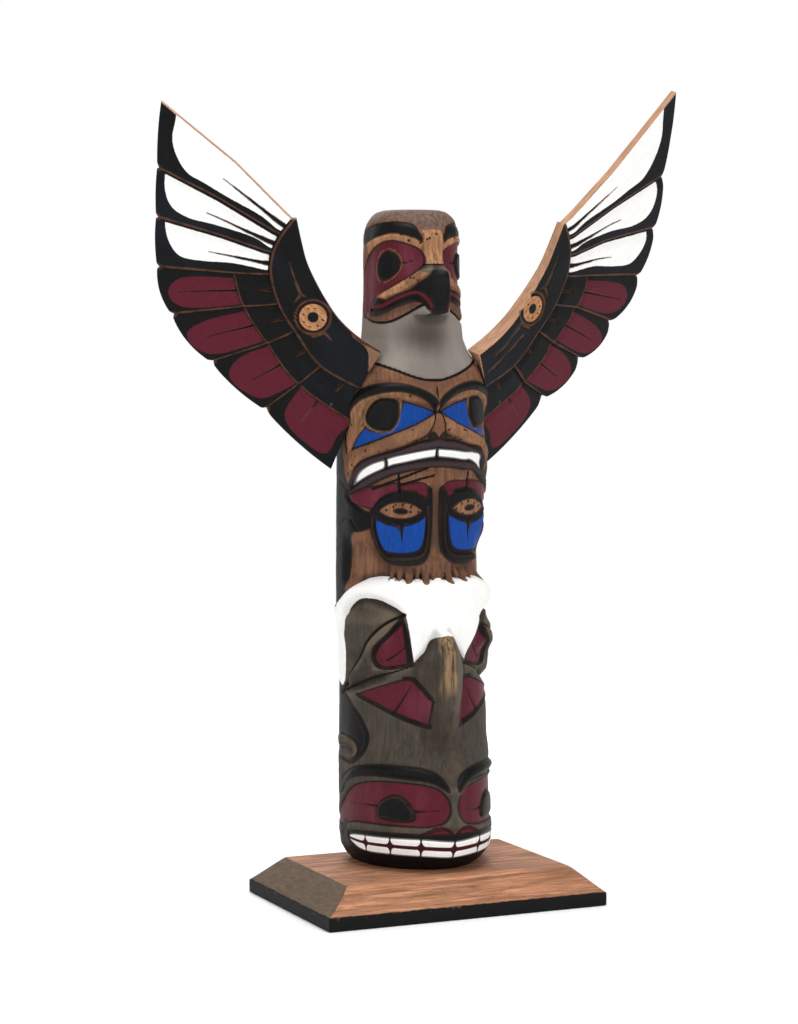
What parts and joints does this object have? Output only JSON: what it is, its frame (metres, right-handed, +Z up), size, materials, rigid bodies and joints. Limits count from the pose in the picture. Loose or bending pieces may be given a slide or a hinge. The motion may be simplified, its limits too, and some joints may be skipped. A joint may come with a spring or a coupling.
{
  "type": "totem pole",
  "caption": "Carved and painted cedar totem pole with a winged bird's head over a bear and a whale, standing on a bevelled base board.",
  "frame": {"origin": "middle of the base board's underside", "axes": "+Z up the pole, -Y the carved front, +X towards the right wing as seen from the front"},
  "size_m": [0.2817, 0.105, 0.4083],
  "materials": {
    "oiled_cedar": "oiled red-brown cedar, matt black on the upright sides",
    "painted_carving": "stained and rubbed cedar with black, dark red, blue, white and grey paint",
    "painted_wing": "black, dark red and white paint in front, bare cedar on the edges and back"
  },
  "bodies": {
    "root": {"base_board": "oiled_cedar", "carved_pole": "painted_carving", "left_wing": "painted_wing", "right_wing": "painted_wing"}
  },
  "joints": []
}
